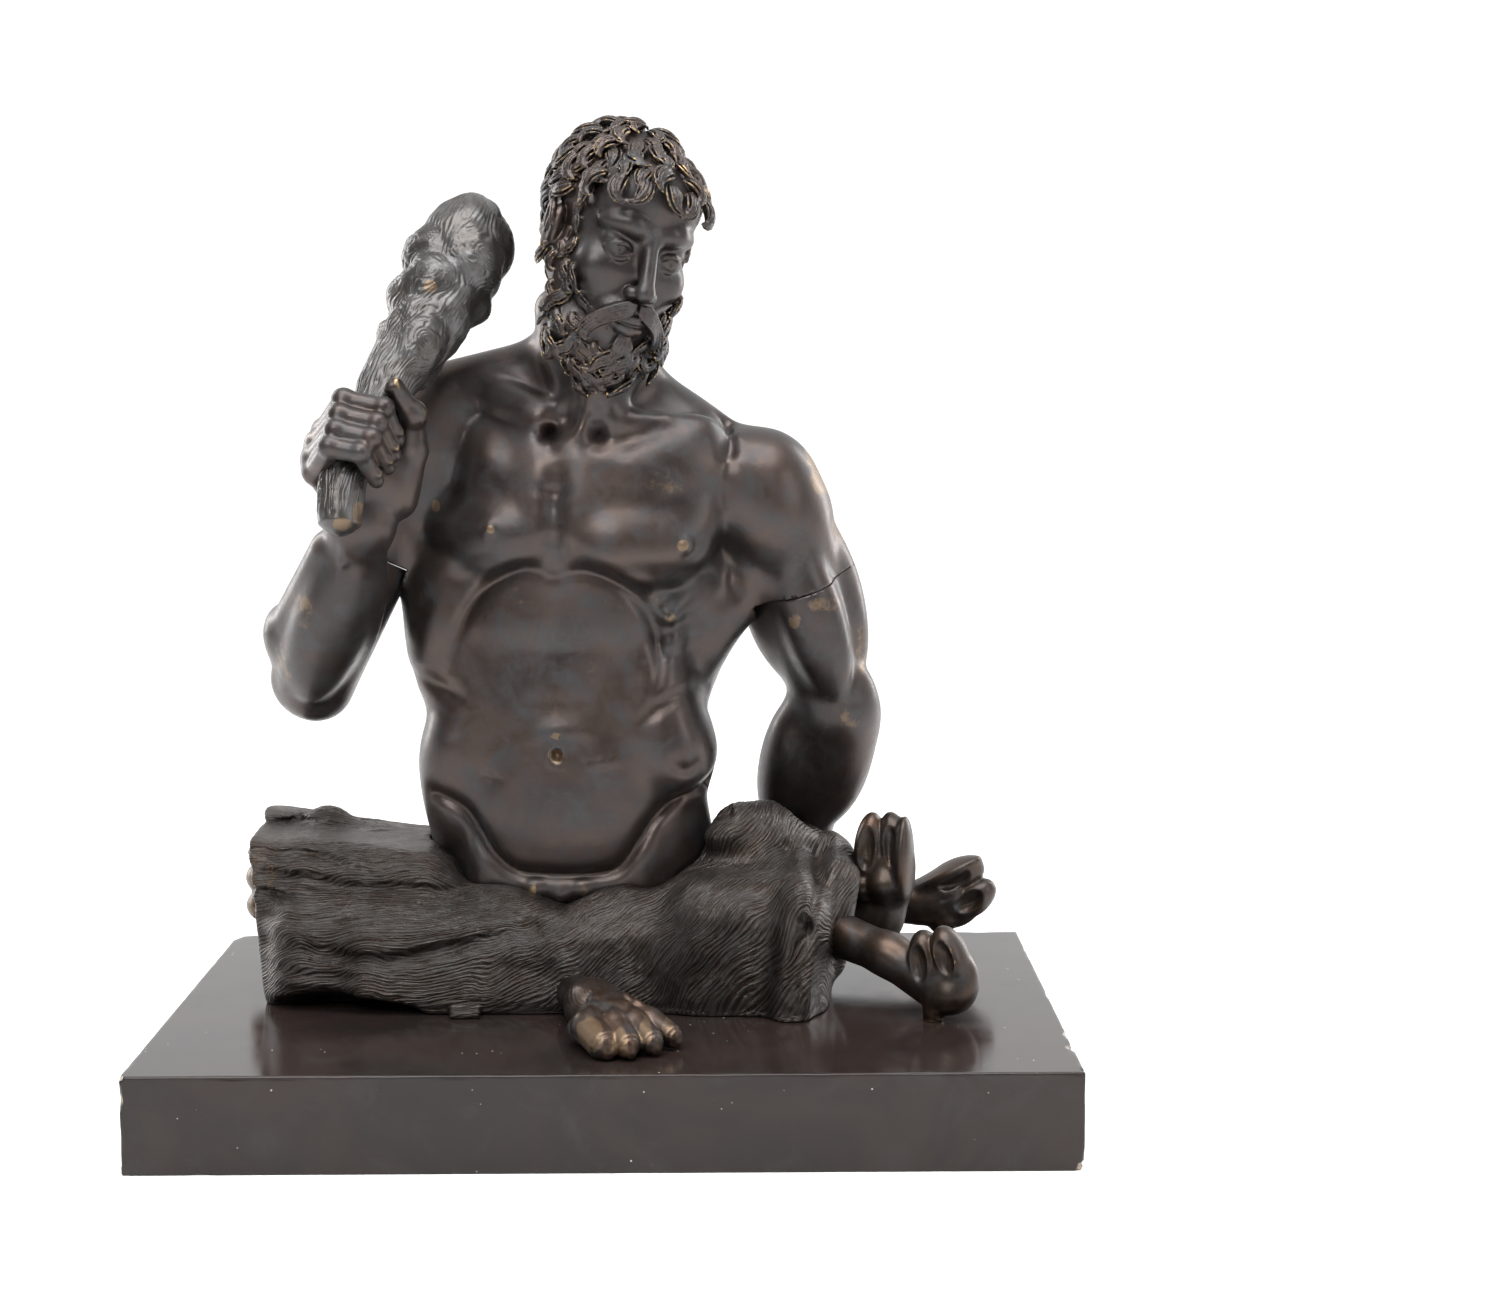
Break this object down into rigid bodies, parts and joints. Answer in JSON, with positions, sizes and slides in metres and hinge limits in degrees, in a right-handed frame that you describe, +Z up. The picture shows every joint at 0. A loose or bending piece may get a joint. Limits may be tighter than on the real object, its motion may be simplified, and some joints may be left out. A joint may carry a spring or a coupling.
{
  "type": "hercules statue",
  "caption": "Half-length bearded bronze figure with a club over the shoulder, rising from an animal hide with paws and hooves, on a rectangular polished marble plinth.",
  "frame": {"origin": "centre of the plinth's underside", "axes": "+Z up, the figure's front faces -Y, +X along the plinth towards the figure's left"},
  "size_m": [0.38, 0.25, 0.4247],
  "materials": {
    "figure_bronze": "dark brown patina, satin, worn to brass on the high spots",
    "hide_bronze": "dark patina with engraved fur, satin",
    "marble": "polished dark red-brown stone"
  },
  "bodies": {
    "root": {"plinth": "marble", "torso": "figure_bronze", "right_arm": "figure_bronze", "left_arm": "figure_bronze", "club": "figure_bronze", "pelt": "hide_bronze", "front_paw": "hide_bronze", "rear_paw": "hide_bronze", "front_hoof": "hide_bronze", "middle_hoof": "hide_bronze", "rear_hoof": "hide_bronze"}
  },
  "joints": []
}
